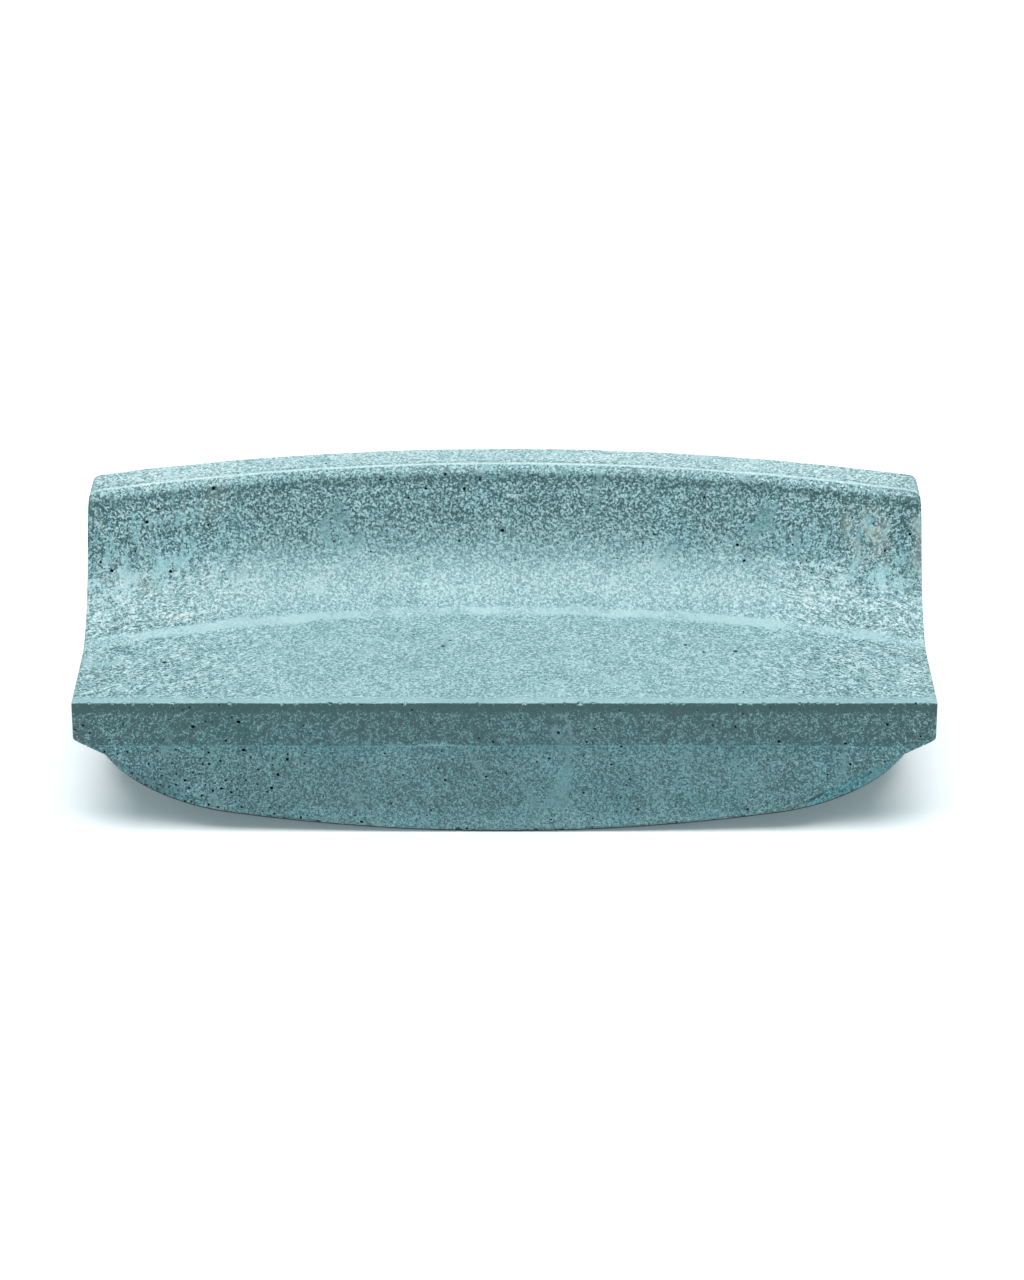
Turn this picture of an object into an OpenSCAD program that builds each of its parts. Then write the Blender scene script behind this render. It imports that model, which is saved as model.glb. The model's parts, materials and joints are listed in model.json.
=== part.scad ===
// Cast concrete balance board: a swept deck with a foot cove and a raised lip, bolted down onto a
// rocker block with a curved, rubber-soled underside.
// X runs along the board, Y from the front face to the back of the lip, Z up from the floor.
// The origin is on the floor under the middle of the board.

/* [Board] */
// Length of the board from end to end
board_w = 400; // [330:5:480]
// Depth from the front face to the back of the lip, at mid length
board_d = 168; // [140:2:205]
// Height of the tread above the floor
tread_h = 67; // [60:1:81]
// Height of the lip above the tread
lip_h = 59; // [50:1:70]

/* [Deck] */
// Thickness of the deck under the tread
slab_t = 22; // [19:1:27]
// Radius, seen from above, of the arch where the tread meets the cove
arch_r = 520; // [440:10:700]
// Radius of the foot cove, seen from the end
cove_r = 50; // [42:1:60]
// Slope at which the cove leaves the tread, in degrees
cove_start = 16; // [8:1:24]
// Slope of the wall above the cove, in degrees from level
wall_slope = 65; // [60:1:70]
// Thickness of the wall behind the cove
wall_t = 22; // [20:1:27]
// Radius of the rounded nose of the lip
nose_r = 8; // [6:0.5:10]
// Depth of the flat top of the lip
lip_d = 18; // [14:1:22]

/* [Rocker] */
// Radius of the underside that rolls on the floor
rock_r = 850; // [700:10:1200]
// Radius of the front corners of the rocker, seen from above
corner_r = 70; // [50:1:84]
// Radius of the back corners of the rocker, seen from above
back_corner_r = 30; // [24:1:36]
// Setback of the rocker behind the back of the deck
back_setback = 6; // [3:1:10]
// Setback of the rocker at each end of the board
end_setback = 2; // [1:0.5:6]
// Thickness of the rubber sole
sole_t = 3; // [2.5:0.5:4]
// How far the sole stands below the concrete
sole_proud = 1; // [0.5:0.25:1.5]
// Width of concrete left round the edge of the sole
sole_margin = 1; // [0.5:0.5:4]

/* [Fixings] */
// Distance of the bolts from the ends of the board
bolt_from_end = 85; // [75:1:95]
// Distance of the front bolts from the front face
bolt_from_front = 35; // [32:1:38]
// Distance of the back bolts from the back of the lip
bolt_from_back = 63; // [60:1:66]
// Diameter of the bolt shank
bolt_d = 8; // [6:0.2:9.6]
// Length of bolt that is screwed into its insert
thread_grip = 9.5; // [7:0.5:11]
// Diameter of the locating dowels
dowel_d = 10; // [8:1:12]

/* [Hidden] */
$fn = 96;
concrete = "#8fb9bb";
rubber = "#2b2e2f";
steel = "#9a9da0";

// Longer than the board in any direction, for cutting shapes
far = 3 * max(board_w, board_d);

// Places of the main faces
front_y = -board_d / 2;
back_y = board_d / 2;
joint_z = tread_h - slab_t;

// Cove, wall and nose, as distance behind the crease and height above the tread
wall_dir = [cos(wall_slope), sin(wall_slope)];
into_wall = [sin(wall_slope), -cos(wall_slope)];
cove_mid = cove_r * [-sin(cove_start), cos(cove_start)];
cove_top = cove_mid + cove_r * into_wall;
wall_end_z = lip_h - nose_r * (1 - cos(wall_slope));
wall_end = cove_top + wall_dir * (wall_end_z - cove_top.y) / wall_dir.y;
nose_mid = wall_end + nose_r * into_wall;
lip_back = nose_mid.x + lip_d;
back_foot = cove_top + wall_t * into_wall;
lip_back_z = back_foot.y + (lip_back - back_foot.x) * wall_dir.y / wall_dir.x;

// The profile is swept round an upright axis in front of the board
axis_y = back_y - lip_back - arch_r;
half_sweep = atan2(board_w / 2, front_y - axis_y) + 2;

// Outline of the rocker seen from above
rocker_half_w = board_w / 2 - end_setback;
rear_r = arch_r + back_foot.x - back_setback;
back_mid_x = rocker_half_w - back_corner_r;
back_mid_y = axis_y + sqrt(pow(rear_r - back_corner_r, 2) - pow(back_mid_x, 2));
front_r = min(corner_r, back_mid_y - front_y - 1);
front_mid = [rocker_half_w - front_r, front_y + front_r];

// Diagonal underside of the front corners, from the end face down to the rocker
corner_rise = 3;
corner_top_z = joint_z + corner_rise;
corner_foot_z = under_z(front_mid.x);

// Bolts, from the floor up: plug, gap, head, washer, concrete, insert
bolt_x = board_w / 2 - bolt_from_end;
bolt_row_front = front_y + bolt_from_front;
bolt_row_back = back_y - bolt_from_back;
head_d = bolt_d + 5;
head_h = bolt_d;
hex_af = 0.75 * bolt_d;
washer_d = 2 * bolt_d;
washer_t = 1.6;
washer_gap = 0.4;
pocket_gap = 1;
pocket_d = washer_d + 2 * pocket_gap;
plug_t = 5;
plug_gap = 2.4;
plug_top_z = under_z(bolt_x + pocket_d / 2) + plug_t;
head_z = plug_top_z + plug_gap + head_h;
pocket_z = head_z + washer_t;
bolt_end_z = joint_z + thread_grip;
shank_gap = 0.5;
insert_af = bolt_d + 5;
insert_h = 14;
bore_spare = 2.5;
insert_bore = thread_grip + bore_spare;
neck_d = bolt_d + 3;
neck_z = 6;
neck_h = 3;

// Dowels, behind the front bolts and a little nearer mid length
dowel_from_bolt = [12, 35];
dowel_x = bolt_x - dowel_from_bolt.x;
dowel_y = bolt_row_front + dowel_from_bolt.y;
dowel_below = 11;
dowel_above = 13;

// Reinforcement of the deck: bars lie across bent wires, tied a little clear of them
bar_d = 6;
wire_d = 4;
tie_gap = 0.2;
bar_on_wire = (wire_d + bar_d) / 2 + tie_gap;
end_cover = 12;
wire_cover = 8.5;
bar_cover = wire_cover + bar_on_wire;
wire_rise = 6;
wire_z = joint_z + wire_rise;
slab_bar_z = wire_z + bar_on_wire;
slab_bar_behind_bolts = 23;
slab_bar_back_y = bolt_row_front + slab_bar_behind_bolts;
lip_bar_drop = 7;
bend_r = 12;
bend_thinning = 0.1;
leg_overlap = 0.2;
bar_sweep = asin((board_w / 2 - end_cover) / (arch_r + lip_back));
stirrup_sweep = asin((board_w / 2 - 2 * end_cover) / (arch_r + lip_back));
wall_bar_mid = cove_top + bar_cover * into_wall;
lip_bar_mid = wall_end + bar_cover * into_wall - lip_bar_drop * wall_dir;

// Reinforcement of the rocker
bar_drop = 9;
bar_before_bolts = [15, 17];
bar_past_front_mid = 22;
bar_end_cover = 23;
rocker_bar_z = joint_z - bar_drop;
rocker_bar_front_y = bolt_row_front - bar_before_bolts[0];
rocker_bar_back_y = bolt_row_back - bar_before_bolts[1];
rocker_bar_front_l = 2 * (front_mid.x + bar_past_front_mid);
rocker_bar_back_l = 2 * (rocker_half_w - bar_end_cover);
tie_z = rocker_bar_z - bar_on_wire;
inner_tie_x = 50;
tie_past_bolts = 25;
tie_x = [inner_tie_x, bolt_x + tie_past_bolts];
tie_before_bolts = 5;
tie_back_y = bolt_row_back - tie_before_bolts;

// Height of the underside above the floor at a distance from mid length
function under_z(x) = rock_r - sqrt(rock_r * rock_r - x * x);

// Points along an arc: middle, radius, first and last angle, number of steps
function arc(mid, r, first, last, steps) =
    [for (i = [0 : steps]) let (a = first + (last - first) * i / steps) mid + r * [cos(a), sin(a)]];

// Sweeps a flat shape (distance behind the crease, height above the floor) along the arch
module sweep_arch(half_angle) {
    translate([0, axis_y, 0])
        rotate([0, 0, 90 - half_angle])
            rotate_extrude(angle = 2 * half_angle, $fn = 360)
                translate([arch_r, 0]) children();
}

// Moves to a place on the arch, where local Y is distance behind the crease
module on_arch(angle) {
    translate([0, axis_y, 0]) rotate([0, 0, angle]) translate([0, arch_r, 0]) children();
}

// A round rod between two points in the local YZ plane
module rod(from, to, d) {
    run = to - from;
    translate([0, from.x, from.y])
        rotate([-atan2(run.x, run.y), 0, 0]) cylinder(d = d, h = norm(run), $fn = 32);
}

// A round rod along the board, centred on mid length
module long_rod(length, y, z, d) {
    translate([-length / 2, y, z]) rotate([0, 90, 0]) cylinder(d = d, h = length, $fn = 32);
}

// The cylinder that rolls on the floor, smaller by an inset
module rolling_cylinder(inset) {
    translate([0, -far / 2, rock_r])
        rotate([-90, 0, 0]) cylinder(r = rock_r - inset, h = far, $fn = 720);
}

// The front view between the diagonal corner cuts, from one depth to another
module corner_block(from_y, to_y) {
    translate([0, to_y, 0]) rotate([90, 0, 0])
        linear_extrude(to_y - from_y)
            polygon([[-front_mid.x, corner_foot_z], [front_mid.x, corner_foot_z],
                     [board_w / 2, corner_top_z], [board_w / 2, far],
                     [-board_w / 2, far], [-board_w / 2, corner_top_z]]);
}

// Outline of the rocker seen from above, smaller by an inset
module rocker_outline(inset) {
    translate([-front_mid.x, front_y + inset]) square([2 * front_mid.x, front_r]);
    translate([-rocker_half_w + inset, front_mid.y])
        square([2 * (rocker_half_w - inset), back_mid_y - front_mid.y]);
    intersection() {
        translate([0, axis_y]) circle(r = rear_r - inset, $fn = 720);
        translate([0, axis_y])
            polygon([[0, 0], 2 * [back_mid_x, back_mid_y - axis_y],
                     2 * [-back_mid_x, back_mid_y - axis_y]]);
        translate([-far / 2, front_mid.y]) square(far);
    }
    intersection() {
        for (side = [-1, 1])
            translate([side * front_mid.x, front_mid.y]) circle(r = front_r - inset);
        translate([-far / 2, front_mid.y - far]) square(far);
    }
    for (side = [-1, 1])
        translate([side * back_mid_x, back_mid_y]) circle(r = back_corner_r - inset);
}

// Repeats its children at the four bolts
module at_bolts() {
    for (x = [-bolt_x, bolt_x], y = [bolt_row_front, bolt_row_back])
        translate([x, y, 0]) children();
}

// Cross-section of the deck: distance behind the crease, height above the floor
module deck_profile() {
    before_front = front_y - axis_y - arch_r - 10;
    polygon([[before_front, joint_z], [before_front, tread_h], [0, tread_h],
             for (p = arc(cove_mid, cove_r, cove_start - 90, wall_slope - 90, 24)) [p.x, p.y + tread_h],
             for (p = arc(nose_mid, nose_r, 90 + wall_slope, 90, 10)) [p.x, p.y + tread_h],
             [lip_back, tread_h + lip_h], [lip_back, tread_h + lip_back_z],
             [back_foot.x, tread_h + back_foot.y], [back_foot.x, joint_z]]);
}

module deck_casting() {
    color(concrete)
        difference() {
            intersection() {
                sweep_arch(half_sweep) deck_profile();
                corner_block(front_y, back_y + 1);
            }
            at_bolts() insert_body(1);
            dowel_pair();
            lip_bar();
            wall_bar();
            slab_bar_front();
            slab_bar_back();
            deck_stirrups();
        }
}

module rocker_casting() {
    color(concrete)
        difference() {
            intersection() {
                rolling_cylinder(sole_proud);
                union() {
                    linear_extrude(joint_z) rocker_outline(0);
                    intersection() {
                        corner_block(front_y, front_mid.y);
                        translate([-far / 2, -far / 2, 0]) cube([far, far, joint_z]);
                    }
                }
            }
            sole_body();
            at_bolts() {
                cylinder(d = pocket_d, h = pocket_z);
                cylinder(d = bolt_d + 2 * shank_gap, h = joint_z + 1);
            }
            dowel_pair();
            rocker_bar_front();
            rocker_bar_back();
            rocker_ties();
        }
}

// The sole before its holes are cut
module sole_body() {
    difference() {
        intersection() {
            rolling_cylinder(0);
            linear_extrude(joint_z) rocker_outline(sole_margin);
        }
        rolling_cylinder(sole_t);
    }
}

module rocker_sole() {
    color(rubber)
        difference() {
            sole_body();
            at_bolts() cylinder(d = pocket_d, h = pocket_z);
        }
}

module bolt_plugs() {
    color(rubber)
        intersection() {
            rolling_cylinder(0);
            at_bolts() cylinder(d = pocket_d, h = plug_top_z);
        }
}

module base_bolts() {
    color(steel)
        at_bolts()
            difference() {
                union() {
                    translate([0, 0, head_z - head_h]) cylinder(d = head_d, h = head_h);
                    translate([0, 0, head_z]) cylinder(d = bolt_d, h = bolt_end_z - head_z);
                }
                translate([0, 0, head_z - head_h - 1])
                    cylinder(d = hex_af / cos(30), h = head_h / 2 + 1, $fn = 6);
            }
}

module bolt_washers() {
    color(steel)
        at_bolts()
            translate([0, 0, head_z])
                difference() {
                    cylinder(d = washer_d, h = washer_t);
                    translate([0, 0, -1]) cylinder(d = bolt_d + washer_gap, h = washer_t + 2);
                }
}

// One insert without its bore: a hexagon with a neck that the concrete locks into.
// As a cut, it starts a little below the joint.
module insert_body(below = 0) {
    hexagon_d = insert_af / cos(30);
    translate([0, 0, joint_z]) {
        translate([0, 0, -below]) cylinder(d = hexagon_d, h = neck_z + below, $fn = 6);
        translate([0, 0, neck_z]) cylinder(d = neck_d, h = neck_h);
        translate([0, 0, neck_z + neck_h])
            cylinder(d = hexagon_d, h = insert_h - neck_z - neck_h, $fn = 6);
    }
}

module deck_inserts() {
    color(steel)
        at_bolts()
            difference() {
                insert_body();
                translate([0, 0, joint_z - 1]) cylinder(d = bolt_d, h = insert_bore + 1);
            }
}

module dowel_pair() {
    for (side = [-1, 1])
        translate([side * dowel_x, dowel_y, joint_z - dowel_below])
            cylinder(d = dowel_d, h = dowel_below + dowel_above);
}

module locating_dowels() {
    color(steel) dowel_pair();
}

module lip_bar() {
    color(steel)
        sweep_arch(bar_sweep) translate([lip_bar_mid.x, tread_h + lip_bar_mid.y]) circle(d = bar_d);
}

module wall_bar() {
    color(steel)
        sweep_arch(bar_sweep) translate([wall_bar_mid.x, tread_h + wall_bar_mid.y]) circle(d = bar_d);
}

module slab_bar_front() {
    color(steel) long_rod(board_w - 2 * end_cover, front_y + end_cover, slab_bar_z, bar_d);
}

module slab_bar_back() {
    color(steel) long_rod(board_w - 2 * end_cover, slab_bar_back_y, slab_bar_z, bar_d);
}

// One bent wire: a leg under the tread, a bend, and a leg up inside the wall
module stirrup(angle) {
    foot = cove_top + wire_cover * into_wall;
    rise = wire_z - tread_h - foot.y;
    corner = [foot.x + rise * wall_dir.x / wall_dir.y, wire_z];
    trim = bend_r * tan(wall_slope / 2);
    front_end = (front_y - axis_y) / cos(angle) - arch_r + end_cover;
    top = wall_end + wire_cover * into_wall - wire_d * wall_dir + [0, tread_h];
    on_arch(angle)
        translate([0, corner.x - trim, wire_z + bend_r])
            rotate([90, 0, 90]) {
                wire_leg(front_end - corner.x + trim, leg_overlap);
                rotate([0, 0, -90])
                    rotate_extrude(angle = wall_slope)
                        translate([bend_r, 0]) circle(d = wire_d - bend_thinning);
                rotate([0, 0, wall_slope]) wire_leg(-leg_overlap, norm(top - corner) - trim);
            }
}

// A straight leg of a bent wire, tangent to the bend
module wire_leg(from, to) {
    translate([from, -bend_r, 0]) rotate([0, 90, 0]) cylinder(d = wire_d, h = to - from);
}

module deck_stirrups() {
    color(steel)
        for (step = [-2 : 2]) stirrup(step * stirrup_sweep / 2);
}

module rocker_bar_front() {
    color(steel) long_rod(rocker_bar_front_l, rocker_bar_front_y, rocker_bar_z, bar_d);
}

module rocker_bar_back() {
    color(steel) long_rod(rocker_bar_back_l, rocker_bar_back_y, rocker_bar_z, bar_d);
}

module rocker_ties() {
    color(steel)
        for (x = tie_x, side = [-1, 1])
            translate([side * x, 0, 0])
                rod([front_y + end_cover, tie_z], [tie_back_y, tie_z], wire_d);
}

deck_casting();
rocker_casting();
rocker_sole();
bolt_plugs();
base_bolts();
bolt_washers();
deck_inserts();
locating_dowels();
lip_bar();
wall_bar();
slab_bar_front();
slab_bar_back();
deck_stirrups();
rocker_bar_front();
rocker_bar_back();
rocker_ties();
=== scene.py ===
"""Cast concrete balance board: builds the weathered castings, the rubber and the steel, and a studio.

X runs along the board, Y from the front face to the back of the lip, Z up from the floor, in metres.
"""

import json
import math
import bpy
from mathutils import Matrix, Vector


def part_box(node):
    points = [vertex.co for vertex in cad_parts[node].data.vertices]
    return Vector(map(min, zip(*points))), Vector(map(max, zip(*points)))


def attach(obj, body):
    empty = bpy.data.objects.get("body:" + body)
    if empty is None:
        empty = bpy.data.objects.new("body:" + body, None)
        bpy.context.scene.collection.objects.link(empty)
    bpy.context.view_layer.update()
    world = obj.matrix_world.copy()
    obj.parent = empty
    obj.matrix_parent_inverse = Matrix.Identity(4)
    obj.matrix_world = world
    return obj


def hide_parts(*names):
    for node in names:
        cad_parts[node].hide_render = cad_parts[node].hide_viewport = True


bl_info = {
    "name": "Concrete Balance Board",
    "version": (1, 0, 0),
    "blender": (4, 5, 0),
    "location": "View3D > Sidebar > Balance Board",
    "description": "Builds a cast concrete balance board round its packed parts",
    "category": "Add Mesh",
}

import bmesh
import bpy
import numpy as np
from bpy.props import FloatProperty, FloatVectorProperty, IntProperty, PointerProperty
from mathutils import Vector

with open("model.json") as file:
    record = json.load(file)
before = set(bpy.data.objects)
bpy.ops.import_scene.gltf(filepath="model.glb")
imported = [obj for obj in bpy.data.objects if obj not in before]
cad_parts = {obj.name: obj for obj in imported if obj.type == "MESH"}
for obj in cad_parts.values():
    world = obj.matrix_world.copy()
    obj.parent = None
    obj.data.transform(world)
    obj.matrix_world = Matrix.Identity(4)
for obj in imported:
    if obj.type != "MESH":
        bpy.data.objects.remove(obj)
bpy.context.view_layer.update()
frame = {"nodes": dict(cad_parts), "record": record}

MM = 0.001
SAME_POINT = 0.002 * MM
NO_LENGTH = 0.001 * MM
HAIR = 0.0015 * MM
THIN = 0.3 * MM
LEAST_EDGE = 0.15 * MM
LEAST_SEAM = 0.08 * MM
BEYOND = 5 * MM
CHIPPED_REACH = 126 * MM
SHARP = math.radians(32)
BODY = "root"
DECK_LOW, DECK_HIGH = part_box("deck_casting")
ROCKER_LOW, ROCKER_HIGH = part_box("rocker_casting")
SOLE_LOW, SOLE_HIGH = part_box("rocker_sole")
WASHER_LOW, WASHER_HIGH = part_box("bolt_washers")
HALF_LENGTH = DECK_HIGH.x
FRONT_Y = DECK_LOW.y
BACK_Y = DECK_HIGH.y
LIP_Z = DECK_HIGH.z
JOINT_Z = DECK_LOW.z
TREAD_Z = next(m["pos_m"][2] for m in frame["record"]["mounts"] if m["name"] == "tread_face")

FIXINGS = ("base_bolts", "bolt_washers", "deck_inserts", "locating_dowels")
RUBBERS = ("rocker_sole", "bolt_plugs")
DECK_BARS = ("lip_bar", "wall_bar", "slab_bar_front", "slab_bar_back", "deck_stirrups")
ROCKER_BARS = ("rocker_bar_front", "rocker_bar_back", "rocker_ties")


# ---------------------------------------------------------------- settings


def length(about, default):
    """A size in metres that a user can change."""
    return FloatProperty(description=about, default=default, min=0.0, subtype="DISTANCE", precision=5)


def angle(about, degrees):
    """An angle that a user can change."""
    return FloatProperty(description=about, default=math.radians(degrees), subtype="ANGLE")


def colour(about, default):
    """A colour that a user can change."""
    return FloatVectorProperty(
        description=about, default=default, size=3, min=0.0, max=1.0, subtype="COLOR"
    )


class DeckSettings(bpy.types.PropertyGroup):
    """Shape of the deck casting."""

    arch_radius: length("Radius of the crease, seen from above", 520 * MM)
    cove_radius: length("Radius of the foot cove, seen from the end", 50 * MM)
    cove_start: angle("Slope at which the cove leaves the tread", 16)
    wall_slope: angle("Slope of the wall above the cove", 65)
    wall_thickness: length("Thickness of the wall behind the cove", 22 * MM)
    nose_radius: length("Radius of the rounded nose of the lip", 8 * MM)
    lip_depth: length("Depth of the flat top of the lip", 18 * MM)
    corner_rise: length("Height of the diagonal corner cut in the deck", 3 * MM)
    lip_corner: length("Radius of the two upper corners of the lip", 4 * MM)
    bead_height: length("Height of the fine mould bead on the nose", 0.40 * MM)
    bead_width: length("Width of the fine mould bead on the nose", 0.65 * MM)
    bead_forward: length("From the start of the flat top forward to the bead", 1.5 * MM)
    edge_wear: length("Usual radius of the worn front edge", 0.35 * MM)
    end_wear: length("Radius of the edges at both ends", 1.0 * MM)
    grid: length("Spacing of the mesh over the surface", 1.7 * MM)


class RockerSettings(bpy.types.PropertyGroup):
    """Shape of the rocker casting."""

    rolling_radius: length("Radius of the underside", 850 * MM)
    front_corner: length("Radius of the front corners, from above", 70 * MM)
    back_corner: length("Radius of the back corners, from above", 30 * MM)
    back_setback: length("Setback behind the back of the deck", 6 * MM)
    sole_thickness: length("Thickness of the rubber sole", 3 * MM)
    sole_proud: length("How far the sole stands below the concrete", 1 * MM)
    sole_margin: length("Width of concrete round the sole", 1 * MM)
    edge_wear: length("Usual radius of the worn edges", 0.5 * MM)
    seam_wear: length("Usual radius of the edge at the joint", 0.30 * MM)
    grid: length("Spacing of the mesh over the surface", 2.0 * MM)


class HoleSettings(bpy.types.PropertyGroup):
    """Holes that the castings are made with."""

    pocket_height: length("Height of the bolt pockets above the floor", 26.1 * MM)
    pocket_width: length("Diameter of the bolt pockets", 18 * MM)
    shank_hole: length("Diameter of the holes for the bolts", 9 * MM)
    washer_width: length("Diameter of the washers", 16 * MM)
    insert_width: length("Width of the inserts across their flats", 13 * MM)
    insert_height: length("Height of the inserts", 14 * MM)
    neck_width: length("Diameter of the neck of the inserts", 11 * MM)
    neck_low: length("Height of the neck above the joint", 6 * MM)
    neck_height: length("Height of the neck itself", 3 * MM)


class ConcreteSettings(bpy.types.PropertyGroup):
    """Colour and wear of the concrete."""

    deep: colour("Colour of the wettest, most pigmented concrete", (0.030, 0.080, 0.084))
    body: colour("Main colour of the concrete", (0.165, 0.315, 0.330))
    # The upward faces reach the pale colour mainly through the painted light from above in the tone;
    # painted shade pulls the tone towards deep and painted highlights pull it towards bloom
    pale: colour("Colour of the upper, dried surface", (0.345, 0.515, 0.530))
    bloom: colour("Colour of the lime bloom and of worn edges", (0.640, 0.715, 0.730))
    # This tint colours patches that kept more pigment, and also the painted floor-bounce light on the
    # rocker's face and corners
    blue: colour("Tint of the patches that kept more pigment", (0.740, 0.960, 1.000))
    earth: colour("Colour of the faint sandy stains", (0.430, 0.460, 0.420))
    # Painted shade: the colour inside the air holes is made very dark
    hole: colour("Colour inside the air holes", (0.012, 0.026, 0.028))
    fleck_size: length("Spacing of the flecks", 1.35 * MM)
    grain_size: length("Spacing of the finer grain between the flecks", 0.8 * MM)
    stroke_length: length("Length of the marks left by the mould release", 6.0 * MM)
    pits: IntProperty(description="Number of air holes in each casting", default=520, min=0)
    chips: IntProperty(description="Number of chips along the edges", default=70, min=0)
    pit_radius: length("Usual radius of an air hole", 0.50 * MM)
    chip_radius: length("Usual radius of a chip", 0.75 * MM)
    unevenness: length("Height of the slow waves in the cast faces", 0.10 * MM)
    seed: IntProperty(description="Seed of everything that is random", default=11)


class FittingSettings(bpy.types.PropertyGroup):
    """Finish of the rubber and the steel."""

    rubber: colour("Colour of the rubber", (0.020, 0.022, 0.023))
    dust: colour("Colour of the dust on the rubber", (0.250, 0.270, 0.265))
    zinc: colour("Colour of the zinc-plated fixings", (0.560, 0.570, 0.580))
    dull_zinc: colour("Colour of the dull spots on the fixings", (0.360, 0.370, 0.375))
    bright_zinc: colour("Colour of the spangle on the fixings", (0.700, 0.710, 0.720))
    bar: colour("Colour of the reinforcing steel", (0.230, 0.210, 0.200))
    rust: colour("Colour of the rust on the reinforcing steel", (0.260, 0.095, 0.035))


class StageSettings(bpy.types.PropertyGroup):
    """Floor, light and camera."""

    floor: colour("Colour of the floor", (0.90, 0.91, 0.92))
    floor_size: length("Length of each side of the floor", 14.0)
    glow: colour("Light that comes up through the floor", (0.112, 0.168, 0.182))
    sky_colour: colour("Colour of the even light all round", (0.90, 0.965, 1.0))
    sky: FloatProperty(description="Strength of the even light all round", default=0.42)
    top_power: FloatProperty(description="Power of the light overhead", default=150.0, unit="POWER")
    top_height: length("Height of the light overhead", 3.2)
    top_width: length("Width of the light overhead", 4.0)
    top_depth: length("Depth of the light overhead", 2.5)
    top_forward: length("How far the light overhead is before the board", 0.60)
    lens: FloatProperty(description="Focal length of the camera", default=114.47, unit="CAMERA")
    elevation: angle("How far the camera looks down", 24.57)
    distance: length("From the camera to the point that it looks at", 1.8777)
    aim: FloatVectorProperty(
        description="Point that the camera looks at", size=3, subtype="XYZ",
        default=(0.0035, FRONT_Y + 0.0121, TREAD_Z + 0.0264),
    )


# ---------------------------------------------------------------- outlines


def run(start, end, spacing=None, count=None):
    """Evenly spaced points from start towards end, without end."""
    start, end = np.array(start, float), np.array(end, float)
    if count is None:
        count = max(2, int(round(np.linalg.norm(end - start) / spacing)))
    steps = np.arange(count)[:, None] / count
    return start + (end - start) * steps


def turn(middle, radius, first, last, count):
    """Points along an arc from the first to the last angle, with both ends."""
    angles = np.linspace(first, last, count)
    return np.array(middle) + radius * np.column_stack([np.cos(angles), np.sin(angles)])


def waves(points, wavelength, seed, count=18):
    """A smooth random value of about -1 to 1 at each point, as a sum of waves."""
    rng = np.random.default_rng(seed)
    directions = rng.normal(size=(count, points.shape[1]))
    directions /= np.linalg.norm(directions, axis=1)[:, None]
    directions *= 2 * math.pi / wavelength * rng.uniform(0.6, 1.6, (count, 1))
    phases = rng.uniform(0, 2 * math.pi, count)
    return np.sin(points @ directions.T + phases).sum(axis=1) / math.sqrt(count)


def swell(places, concrete, seed):
    """Height of the slow waves in the cast faces: long ones, and short ones on top of them."""
    long_waves = waves(places, 34 * MM, seed)
    return concrete.unevenness * (long_waves + 0.4 * waves(places, 9 * MM, seed + 3))


def wear(base, x, seed):
    """Radius of a worn edge at a place along the board: it wanders, and here and there it grows."""
    place = np.array([[x]])
    slow = waves(place, 60 * MM, seed)[0]
    quick = waves(place, 7 * MM, seed + 1)[0]
    return base * (1 + 0.35 * slow + 0.9 * max(0.0, quick - 0.9))


def stations(half_length, grid, marks):
    """Places along the board at which the outline is taken, closer together round the marks."""
    count = int(round(2 * half_length / grid))
    even = np.linspace(-half_length, half_length, count + 1)
    both = np.array([side * mark for mark in marks for side in (-1, 1)])
    kept = [x for x in even if abs(both - x).min() > 0.35 * grid]
    return np.array(sorted([*kept, *both]))


def loft(name, places, outline):
    """A closed mesh through the outlines at each place along the board."""
    rings = []
    for x in places:
        section = outline(x)
        rings.append(np.column_stack([np.full(len(section), x), section]))
    size = len(rings[0])
    faces = []
    for ring in range(len(rings) - 1):
        for i in range(size):
            j = (i + 1) % size
            a, b = ring * size, (ring + 1) * size
            faces.append((a + i, b + i, b + j, a + j))
    faces.append(tuple(range(size)))
    faces.append(tuple(range(len(rings) * size - 1, (len(rings) - 1) * size - 1, -1)))
    mesh = bpy.data.meshes.new(name)
    mesh.from_pydata(np.vstack(rings).tolist(), [], faces)
    return tidy_mesh(mesh)


def tidy_mesh(mesh):
    """Merges points that coincide, drops faces with no area and makes all faces look outwards."""
    shape = bmesh.new()
    shape.from_mesh(mesh)
    bmesh.ops.remove_doubles(shape, verts=shape.verts, dist=SAME_POINT)
    bmesh.ops.dissolve_degenerate(shape, edges=shape.edges, dist=NO_LENGTH)
    large = [face for face in shape.faces if len(face.verts) > 4]
    bmesh.ops.triangulate(shape, faces=large)
    bmesh.ops.recalc_face_normals(shape, faces=shape.faces)
    shape.to_mesh(mesh)
    shape.free()
    return mesh


def offset(section, distance, loose):
    """Moves the points of a closed outline outwards, by a distance at each point where it is loose."""
    ahead = np.roll(section, -1, axis=0) - np.roll(section, 1, axis=0)
    size = np.linalg.norm(ahead, axis=1)
    size[size < 1e-9] = 1.0
    outward = np.column_stack([-ahead[:, 1], ahead[:, 0]]) / size[:, None]
    return section + outward * (distance * loose)[:, None]


# ---------------------------------------------------------------- deck


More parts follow.
